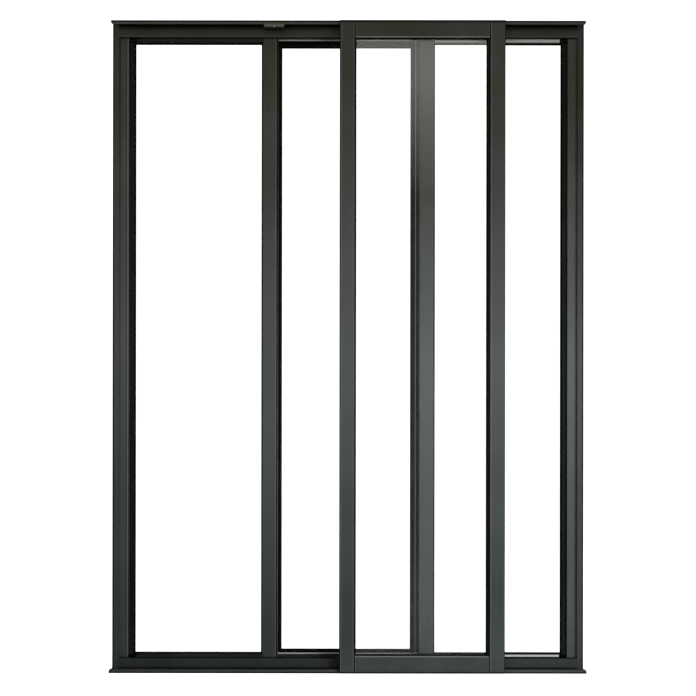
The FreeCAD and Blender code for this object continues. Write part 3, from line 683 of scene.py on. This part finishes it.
class PARTITION_OT_coat_sections(bpy.types.Operator):
    """Give every aluminium section its dark satin coating"""
    bl_idname = "partition.coat_sections"
    bl_label = "Coat the sections"

    def execute(self, context):
        self.finish = context.scene.partition_coat
        self.coat_tracks()
        line = partial(Stripe, "X", other="Y", low=-60 * MM, high=-29 * MM)
        for side in SIDES:
            low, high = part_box(f"{side}_jamb")
            outer = low.x if side == "left" else high.x
            # A painted dark line along the jamb's outer edge stands in for the shade and dark
            # reflection there.
            dress(f"{side}_jamb", coated_aluminium(
                f"coat_on_{side}_jamb", self.finish, "Z", PAINTED_LIGHT_LIFT["jamb"],
                dark=[line(outer, half=5.5 * MM)]))
        # The beads' coat is painted near black, for the shade they sit in beside the stiles.
        beads = coated_aluminium("coat_on_beads", self.finish, "Z", PAINTED_LIGHT_LIFT["bead"])
        for leaf in ("left_leaf", "right_leaf", "front_leaf"):
            dress(f"{leaf}_bead", beads)
        # The stop's front face gets a painted highlight and its underside a painted shade.
        face, underside = WALL_HIGH.z - 19 * MM, WALL_HIGH.z - 30 * MM
        dress("track_stop", coated_aluminium(
            "coat_on_stop", self.finish, "X", 1,
            light=[Stripe("Z", face, half=5 * MM, share=0.07)],
            dark=[Stripe("Z", underside, half=5 * MM)]))
        for leaf in BODY_OF_LEAF:
            self.coat_leaf(leaf)
        return {"FINISHED"}

    def coat_tracks(self):
        """Head and sill, with painted shade in the channels and on the lips, painted highlights and
        reflections on the lips and dividers, and a painted shadow line at the fascia's edge.
        """
        fascia = partial(Stripe, "Z", other="Y", low=-45 * MM, high=-29 * MM)
        lip = partial(Stripe, "Z", other="Y", low=-60 * MM, high=-50 * MM)
        divider = partial(Stripe, "Z", other="Y", low=5 * MM, high=10 * MM)
        head, sill = WALL_HIGH.z, WALL_LOW.z
        dress("head_track", coated_aluminium(
            "coat_on_head", self.finish, "X", PAINTED_LIGHT_LIFT["head"],
            shaded=[fascia(head - 8 * MM, half=2 * MM, share=1, soft=22 * MM),
                    lip(head, half=7 * MM)],
            light=[fascia(head - 46 * MM, half=2.5 * MM, share=0.02),
                   lip(head - 10 * MM, half=3 * MM, share=0.035),
                   divider(head - 44.5 * MM, half=1.6 * MM, share=0.6)],
            dark=[fascia(head - 52 * MM, half=2.5 * MM)]))
        dress("sill_track", coated_aluminium(
            "coat_on_sill", self.finish, "X", PAINTED_LIGHT_LIFT["sill"],
            shaded=[fascia(sill + 6 * MM, half=3 * MM, share=1, soft=7 * MM),
                    lip(sill, half=4.5 * MM)],
            light=[lip(sill + 8 * MM, half=2.5 * MM, share=0.03),
                   divider(sill + 49 * MM, half=2 * MM, share=0.6)],
            dark=[fascia(sill + 45.5 * MM, half=1.8 * MM)]))

    def coat_leaf(self, leaf):
        """Stiles and rails of a leaf, with painted shade over the rear one's front and at the front
        one's ends.
        """
        left, right = (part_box(f"{leaf}_{side}_stile") for side in SIDES)
        low, high = left
        front = {"other": "Y", "low": low.y - MM, "high": low.y + 3 * MM}
        # The rear leaf's front is painted dark for the shade of its recess.
        shaded = [Stripe("Y", low.y, half=9 * MM, share=0.95)] if leaf == "rear_leaf" else []
        # The front leaf's ends are painted dark for the shade under and over them.
        ends = []
        if leaf == "front_leaf":
            ends = [Stripe("Z", low.z, half=4.5 * MM),
                    Stripe("Z", high.z, half=8 * MM, share=0.75)]
        self.coat_stiles(leaf, left, right, partial(Stripe, "X", **front), shaded, ends)
        self.coat_rails(leaf, partial(Stripe, "Z", **front), shaded, ends)

    def coat_stiles(self, leaf, left, right, line, shaded, ends):
        """Stiles of a leaf, with painted shade lines along their edges and painted highlights beside
        them.
        """
        outer_left, inner_left = (corner.x for corner in left)
        inner_right, outer_right = (corner.x for corner in right)
        # Painted shade lines along the stiles' edges.
        shade_lines = {
            "left_leaf": [line(outer_right, half=3.6 * MM),
                          line(inner_left - 9.5 * MM, half=1.2 * MM, share=0.6)],
            "right_leaf": [line(outer_left, half=3 * MM), line(inner_left, half=2.4 * MM)],
            "rear_leaf": [],
            "front_leaf": [line(outer_left, half=3.6 * MM)],
        }
        # Painted highlights beside the edges.
        stile_highlights = {
            "left_leaf": [line(inner_left - 6 * MM, half=1.4 * MM, share=0.08),
                          line(outer_right - 6 * MM, half=1.2 * MM, share=0.05)],
            "right_leaf": [line(inner_left - 5 * MM, half=1 * MM, share=0.03)],
            "rear_leaf": [Stripe("X", inner_right + 13 * MM, half=1.4 * MM, share=0.4)],
            "front_leaf": [line(outer_left + 5.5 * MM, half=1.2 * MM, share=0.06),
                           line(inner_left - 5 * MM, half=1.2 * MM, share=0.03),
                           line(inner_right + 5 * MM, half=1.2 * MM, share=0.06)],
        }
        for side in SIDES:
            dress(f"{leaf}_{side}_stile", coated_aluminium(
                f"coat_on_{leaf}_{side}_stile", self.finish, "Z", PAINTED_LIGHT_LIFT[leaf], shaded,
                stile_highlights[leaf], shade_lines[leaf] + ends))

    def coat_rails(self, leaf, band, shaded, ends):
        """Rails of a leaf, with dark seams at their ends, a dark length beside a jamb, painted
        highlights beside the seams, and painted reflections and shade lines on the right leaf's."""
        low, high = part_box(f"{leaf}_bottom_rail")
        sill_sight, head_sight = high.z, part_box(f"{leaf}_top_rail")[0].z
        seam_to_highlight, half_dark = 3.5 * MM, 12.5 * MM
        seams_and_shade_lines = [Stripe("X", end, half=1 * MM) for end in (low.x, high.x)]
        # Painted highlights beside the seams.
        rail_highlights = [Stripe("X", end, half=0.8 * MM, share=0.03)
                for end in (low.x + seam_to_highlight, high.x - seam_to_highlight)]
        lift, painted_edge_tone = PAINTED_LIGHT_LIFT[leaf], BLACK
        # The left leaf's rails are painted darker for the shade they sit in.
        if leaf == "left_leaf":
            lift = PAINTED_LIGHT_LIFT["left_rails"]
            seams_and_shade_lines.append(Stripe("X", low.x + half_dark, half=half_dark, share=1))
        # The right leaf's rails get pale edges and light bands as painted reflections of the floor,
        # with painted shade lines in the bands.
        if leaf == "right_leaf":
            painted_edge_tone = (0.20, 0.20, 0.19, 1)
            rail_highlights += [band(sill_sight - 2 * MM, half=3.5 * MM, share=0.8),
                     band(head_sight + 4 * MM, half=5.5 * MM, share=0.6)]
            seams_and_shade_lines += [band(sill_sight - 7 * MM, half=1 * MM),
                       band(head_sight + 5.5 * MM, half=0.6 * MM, share=0.5),
                       Stripe("X", high.x - half_dark, half=half_dark, share=1)]
        # The front leaf's rounded rail edges get a painted highlight.
        if leaf == "front_leaf":
            painted_edge_tone = (0.17, 0.17, 0.16, 1)
        rails = coated_aluminium(f"coat_on_{leaf}_rails", self.finish, "X", lift, shaded,
                                 rail_highlights, seams_and_shade_lines + ends, painted_edge_tone)
        for end in ("bottom", "top"):
            dress(f"{leaf}_{end}_rail", rails)


class PARTITION_OT_finish_fittings(bpy.types.Operator):
    """Give the panes, blocks, wheels and axles their finishes"""
    bl_idname = "partition.finish_fittings"
    bl_label = "Finish the fittings"

    def execute(self, context):
        endings = dict.fromkeys(("packers", "guides", "carriers", "wheels"), "moulded_plastic")
        endings.update(glass="clear_pane", axles="turned_steel")
        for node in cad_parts:
            ending = node.split("_")[-1]
            if ending in endings:
                dress(node, material_named(endings[ending]))
        return {"FINISHED"}


class PARTITION_OT_roll_gaskets(bpy.types.Operator):
    """Roll a gasket into both sides of every pane, in place of the square rings"""
    bl_idname = "partition.roll_gaskets"
    bl_label = "Roll the gaskets"

    def execute(self, context):
        sizes = context.scene.partition_seals
        for leaf in BODY_OF_LEAF:
            low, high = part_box(f"{leaf}_gasket")
            glass_low, glass_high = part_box(f"{leaf}_glass")
            rise = 0.5 if leaf == "front_leaf" else 1.0
            profile = gasket_profile(sizes.seat, sizes.show, glass_low.y - low.y)
            inset = Vector((sizes.seat, 0, sizes.seat))
            low, high = low + inset, high - inset
            faces = grid_faces(4, len(profile), close_rows=True).tolist()
            shapes = [(carried_round(low, high, profile, face, outward, rise), faces)
                      for face, outward in ((glass_low.y, -1), (glass_high.y, 1))]
            ring = add_piece(f"{leaf}_rolled_gasket", *joined(shapes),
                             material_named("gasket_rubber"), BODY_OF_LEAF[leaf],
                             "black_gasket", sharp=30)
            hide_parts(f"{leaf}_gasket")
        return {"FINISHED"}


class PARTITION_OT_lay_brushes(bpy.types.Operator):
    """Lay the brush seals that close the gaps between the sections"""
    bl_idname = "partition.lay_brushes"
    bl_label = "Lay the brush seals"

    def execute(self, context):
        sizes = context.scene.partition_seals
        rear_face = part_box("rear_leaf_left_stile")[0].y
        fixed_front, fixed_back = (corner.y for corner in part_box("left_leaf_left_stile"))
        front_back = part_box("front_leaf_left_stile")[1].y
        fascia_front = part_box("left_jamb")[0].y
        leg = 3 * MM
        divider_back, fascia_back = fixed_back + leg, fascia_front + leg
        reach_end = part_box("right_jamb")[0].x
        left_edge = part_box("left_leaf_right_stile")[1].x
        right_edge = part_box("right_leaf_left_stile")[0].x
        front_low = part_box("front_leaf_left_stile")[0].x
        front_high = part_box("front_leaf_right_stile")[1].x
        along_x, back, along_z = (Vector(way) for way in ((1, 0, 0), (0, 1, 0), (0, 0, 1)))
        divider_lines = 45.5 * MM, WALL_HIGH.z - 41 * MM
        fascia_lines = 41 * MM, WALL_HIGH.z - 47 * MM
        front_lines = 35 * MM, WALL_HIGH.z - 35 * MM
        upright_foot, upright_length = 52 * MM, WALL_HIGH.z - 100 * MM
        inset, end_gap = 10 * MM, 1 * MM
        runs = {
            "interlock_brushes": ("frame", [
                ((place, fixed_back, upright_foot), along_z, upright_length,
                 rear_face - fixed_back) for place in (left_edge - inset, right_edge + inset)]),
            "divider_brushes": ("frame", [
                ((-reach_end, divider_back, level), along_x, 2 * reach_end,
                 rear_face - divider_back) for level in divider_lines]),
            "fascia_brushes": ("frame", [
                ((-reach_end, fascia_back, level), along_x, 2 * reach_end,
                 fixed_front - fascia_back) for level in fascia_lines]),
            "front_leaf_brushes": ("front_leaf", [
                ((front_low + end_gap, front_back, level), along_x,
                 front_high - front_low - 2 * end_gap, fascia_front - front_back)
                for level in front_lines]),
        }
        for seed, (name, (body, strips)) in enumerate(runs.items()):
            shapes = [brush_strip(start, way, length, back, reach - sizes.brush_play,
                                  sizes.brush_width, sizes.tuft, seed * 10 + number)
                      for number, (start, way, length, reach) in enumerate(strips)]
            add_piece(name, *joined(shapes), material_named("pile_fibre"), body,
                      "black_gasket", sharp=60)
        return {"FINISHED"}


class PARTITION_OT_drive_screws(bpy.types.Operator):
    """Drive the corner screws of the sliding leaves and the screws of head and sill"""
    bl_idname = "partition.drive_screws"
    bl_label = "Drive the screws"

    def execute(self, context):
        sizes = context.scene.partition_fixings
        steel = material_named("turned_steel")
        head = partial(pan_head, radius=sizes.head_radius, height=sizes.head_height,
                       socket=sizes.socket)
        from_rail_edge = 9 * MM, 30 * MM
        for leaf in ("rear_leaf", "front_leaf"):
            heads = []
            rail_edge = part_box(f"{leaf}_bottom_rail")[1].z
            levels = [rail_edge - inset for inset in from_rail_edge]
            levels += [WALL_HIGH.z - level for level in levels]
            for side, outward in (("left", -1), ("right", 1)):
                low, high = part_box(f"{leaf}_{side}_stile")
                face = low.x if side == "left" else high.x
                heads += [head((face, (low.y + high.y) / 2, level), (outward, 0, 0))
                          for level in levels]
            add_piece(f"{leaf}_corner_screws", *joined(heads), steel, leaf, "plain_steel")
        leaf_middle = sum(corner.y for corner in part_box("rear_leaf_left_stile")) / 2
        lines = [leaf_middle - before for before in (9 * MM, 31 * MM)]
        plate, count = 4 * MM, 7
        row = (np.arange(count) - count // 2) * sizes.plate_spacing
        for name, level, upward in (("sill_screws", plate, 1),
                                    ("head_screws", WALL_HIGH.z - plate, -1)):
            heads = [head((along, across, level), (0, 0, upward))
                     for along in row for across in lines]
            add_piece(name, *joined(heads), steel, "frame", "plain_steel")
        return {"FINISHED"}


class PARTITION_OT_turn_stop_screw(bpy.types.Operator):
    """Turn the bright socket screw of the track stop"""
    bl_idname = "partition.turn_stop_screw"
    bl_label = "Turn the stop's screw"

    def execute(self, context):
        low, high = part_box("stop_screw")
        middle = (low + high) / 2
        head = pan_head((middle.x, high.y, middle.z), (0, -1, 0), (high.x - low.x) / 2,
                        high.y - low.y, context.scene.partition_fixings.socket)
        screw = add_piece("stop_socket_screw", *head, material_named("turned_steel"), "frame",
                          "plain_steel")
        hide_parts("stop_screw")
        return {"FINISHED"}


class PARTITION_OT_plug_stiles(bpy.types.Operator):
    """Plug the ends of the front leaf's stiles"""
    bl_idname = "partition.plug_stiles"
    bl_label = "Plug the stiles' ends"

    def execute(self, context):
        wall, groove, play = 2 * MM, 14 * MM, 0.2 * MM
        plug_depth, thickness = 7.3 * MM, 2 * MM
        plugs = []
        for side in SIDES:
            low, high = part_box(f"front_leaf_{side}_stile")
            start, end = ((low.x + wall, high.x - groove) if side == "left"
                          else (low.x + groove, high.x - wall))
            middle_y = low.y + wall + play + plug_depth / 2
            for level, upward in ((high.z - play, 1), (low.z + play, -1)):
                plugs.append(end_plug(((start + end) / 2, middle_y, level),
                                      (end - start) / 2 - play, plug_depth / 2, thickness,
                                      upward))
        add_piece("front_leaf_end_plugs", *joined(plugs), material_named("moulded_plastic"),
                  "front_leaf", "black_plastic")
        return {"FINISHED"}


class PARTITION_OT_set_stage(bpy.types.Operator):
    """Lay the pale floor and set up the camera and the soft light"""
    bl_idname = "partition.set_stage"
    bl_label = "Set the stage"

    def execute(self, context):
        scene, studio = context.scene, context.scene.partition_studio
        reach = 60
        mesh = bpy.data.meshes.new("floor")
        mesh.from_pydata([(-reach, -reach, 0), (reach, -reach, 0), (reach, reach, 0),
                          (-reach, reach, 0)], [], [(0, 1, 2, 3)])
        mesh.materials.append(pale_floor("pale_floor", studio.floor_tone))
        floor = place_in_scene("floor", mesh)

        camera = place_in_scene("camera", bpy.data.cameras.new("camera"))
        camera.data.lens = studio.lens
        camera.data.shift_y = 0.0418
        camera.location = (0, -studio.eye_distance, studio.eye_height)
        level, roll = math.radians(90), math.radians(-0.08)
        camera.rotation_euler = (level, roll, 0)
        scene.camera = camera

        self.hang_lamp("key_lamp", place=(2.1, -2.0, 0.75), size=(1.6, 1.2),
                       power=studio.key_power, tone=(0.92, 0.97, 1.0))
        self.hang_lamp("fill_lamp", place=(-2.1, -2.0, 2.1), size=(1.2, 1.2),
                       power=studio.fill_power, tone=(1.0, 0.98, 0.92))
        sun = place_in_scene("overhead", bpy.data.lights.new("overhead", "SUN"))
        sun.data.energy, sun.data.angle = 1.6, math.radians(80)
        sun.rotation_euler = (math.radians(10), math.radians(5), 0)
        sun.visible_glossy = False
        self.light_dome(scene)
        scene.view_settings.view_transform = "Standard"
        return {"FINISHED"}

    def hang_lamp(self, name, place, size, power, tone):
        """Hang a flat lamp that faces the middle of the wall at its own height."""
        lamp = place_in_scene(name, bpy.data.lights.new(name, "AREA"))
        lamp.data.shape = "RECTANGLE"
        lamp.data.size, lamp.data.size_y = size
        lamp.data.energy, lamp.data.color = power, tone
        lamp.data.spread = math.radians(80)
        lamp.visible_glossy = False
        lamp.location = place
        aim = Vector((0, 0, place[2])) - Vector(place)
        lamp.rotation_euler = aim.to_track_quat("-Z", "Y").to_euler()

    def light_dome(self, scene):
        """Soft light from the front, mirrored at three tenths of its strength, a bright panel
        over the camera, dark sides and ceiling, and a ring behind the wall for matt faces only.

        The camera sees plain white all round. Cycles counts the ray that reaches the world
        as one, and each pane that it goes straight through as two more, so such a ray has an
        odd depth and sees the white too."""
        world = bpy.data.worlds.new("soft_dome")
        scene.world = world
        world.use_nodes = True
        tree = world.node_tree
        tree.nodes.clear()
        way = put(tree, "SeparateXYZ", {0: put(tree, "TexCoord").outputs["Generated"]}).outputs
        left_tone, right_tone = (0.16, 0.16, 0.16, 1), (0.44, 0.455, 0.46, 1)
        side_tone, ceiling_tone = (0.01, 0.01, 0.01, 1), (0.02, 0.02, 0.01, 1)
        ring_tone, panel_tone = (0.8, 0.8, 0.8, 1), (1.45, 1.42, 1.34, 1)
        front = blend(tree, span(tree, way["X"], -0.3, 0.1), left_tone, right_tone)
        ray = put(tree, "LightPath").outputs
        front_share = times(tree, span(tree, way["Y"], -0.6, -0.92),
                            span(tree, mirrored_share(tree), 0, 1, 1, 0.3))
        dome = blend(tree, front_share, side_tone, front)
        rear = times(tree, span(tree, way["Y"], 0.3, 0.5), span(tree, way["Y"], 0.92, 0.75))
        rear = times(tree, rear, ray["Is Diffuse Ray"])
        dome = blend(tree, rear, dome, ring_tone)
        dome = blend(tree, span(tree, way["Z"], 0.0, 0.4), dome, ceiling_tone)
        panel = times(tree, span(tree, way["Z"], 0.2, 0.32), span(tree, way["Z"], 0.50, 0.42))
        panel = times(tree, panel, span(tree, way["Y"], -0.75, -0.85))
        dome = blend(tree, panel, dome, panel_tone)
        dome_light = put(tree, "Background", {"Color": dome, "Strength": 1.0})
        white = put(tree, "Background", {"Color": (1, 1, 1, 1), "Strength": 1.3})
        passing = maths(tree, "MAXIMUM", ray["Is Camera Ray"], ray["Is Transmission Ray"])
        seen = times(tree, passing, maths(tree, "MODULO", ray["Ray Depth"], 2))
        mixed = put(tree, "MixShader", {0: seen, 1: dome_light.outputs[0],
                                        2: white.outputs[0]})
        put(tree, "OutputWorld", {"Surface": mixed.outputs[0]})


class PARTITION_PT_panel(bpy.types.Panel):
    """Steps and sizes of the partition wall"""
    bl_idname = "PARTITION_PT_panel"
    bl_label = "Partition wall"
    bl_space_type = "VIEW_3D"
    bl_region_type = "UI"
    bl_category = "Partition"

    def draw(self, context):
        for name in SETTINGS:
            box = self.layout.box()
            box.label(text=name.removeprefix("partition_").capitalize())
            settings = getattr(context.scene, name)
            for key in settings.__annotations__:
                box.prop(settings, key)
        for step in STEPS:
            self.layout.operator(step.bl_idname)


SETTINGS = {"partition_coat": CoatFinish, "partition_seals": SealSizes,
            "partition_fixings": FixingSizes, "partition_studio": Studio}
STEPS = (PARTITION_OT_coat_sections, PARTITION_OT_finish_fittings, PARTITION_OT_roll_gaskets,
         PARTITION_OT_lay_brushes, PARTITION_OT_drive_screws, PARTITION_OT_turn_stop_screw,
         PARTITION_OT_plug_stiles, PARTITION_OT_set_stage)


def register():
    """Register the settings, the steps and the panel."""
    for name, group in SETTINGS.items():
        bpy.utils.register_class(group)
        setattr(bpy.types.Scene, name, PointerProperty(type=group))
    for step in (*STEPS, PARTITION_PT_panel):
        bpy.utils.register_class(step)


def unregister():
    """Take back everything that register added."""
    for step in reversed((*STEPS, PARTITION_PT_panel)):
        bpy.utils.unregister_class(step)
    for name, group in SETTINGS.items():
        delattr(bpy.types.Scene, name)
        bpy.utils.unregister_class(group)


def main():
    """Run every step in order."""
    register()
    for step in STEPS:
        family, action = step.bl_idname.split(".")
        getattr(getattr(bpy.ops, family), action)()


if __name__ == "__main__":
    main()
